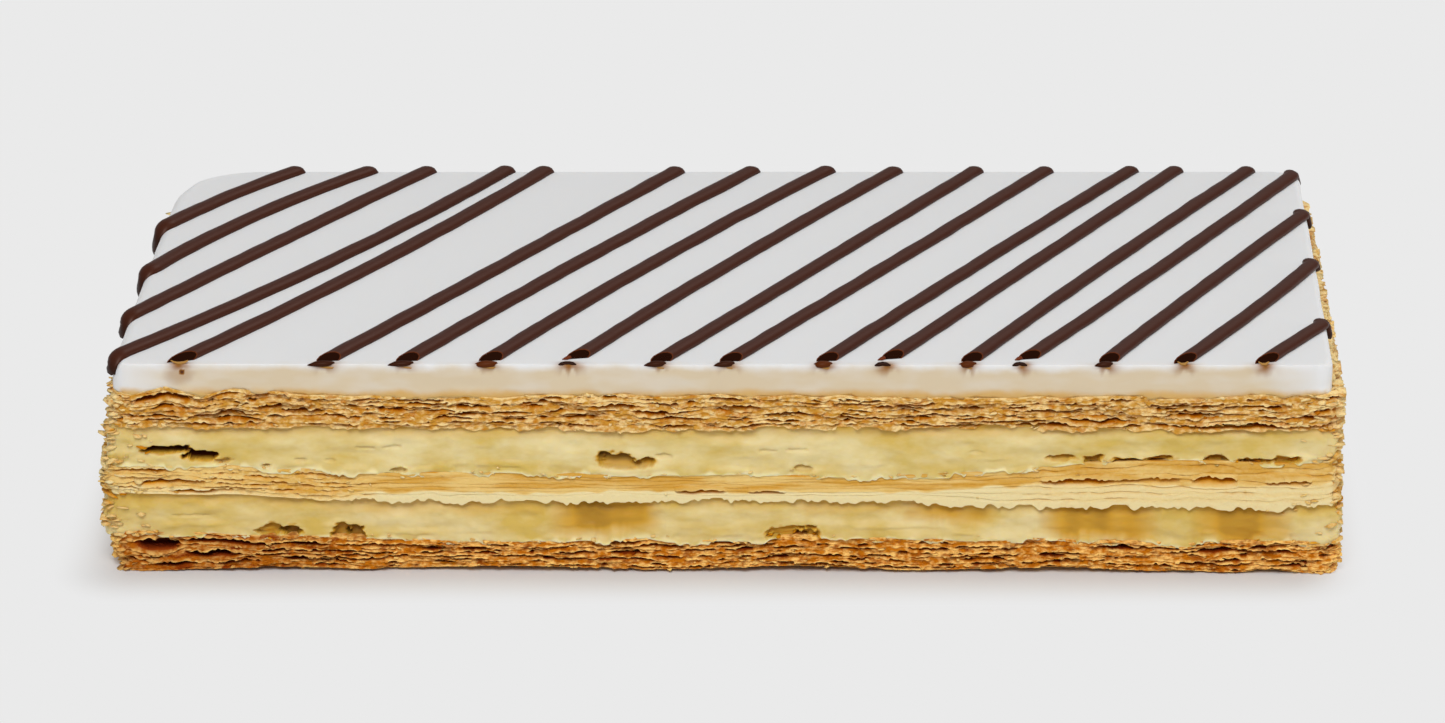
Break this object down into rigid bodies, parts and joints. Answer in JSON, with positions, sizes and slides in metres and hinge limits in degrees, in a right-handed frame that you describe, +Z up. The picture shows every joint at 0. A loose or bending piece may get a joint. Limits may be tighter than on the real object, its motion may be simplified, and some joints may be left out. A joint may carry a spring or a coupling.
{
  "type": "mille feuille bar",
  "caption": "Rectangular mille feuille bar: flaky pastry sheets with custard between them, topped with white icing and slanting chocolate stripes.",
  "frame": {"origin": "under the middle of the bar, on the surface that it lies on", "axes": "+X along the length, +Y from the knife-cut front to the back, +Z up through the layers to the icing"},
  "size_m": [0.2046, 0.1013, 0.0378],
  "materials": {
    "pastry_bottom": "matte",
    "custard_lower": "satin",
    "pastry_middle": "matte",
    "custard_upper": "satin",
    "pastry_top": "matte",
    "icing": "satin"
  },
  "bodies": {
    "root": {"pastry_bottom": "pastry_bottom", "custard_lower": "custard_lower", "pastry_middle": "pastry_middle", "custard_upper": "custard_upper", "pastry_top": "pastry_top", "icing": "icing"}
  },
  "joints": []
}
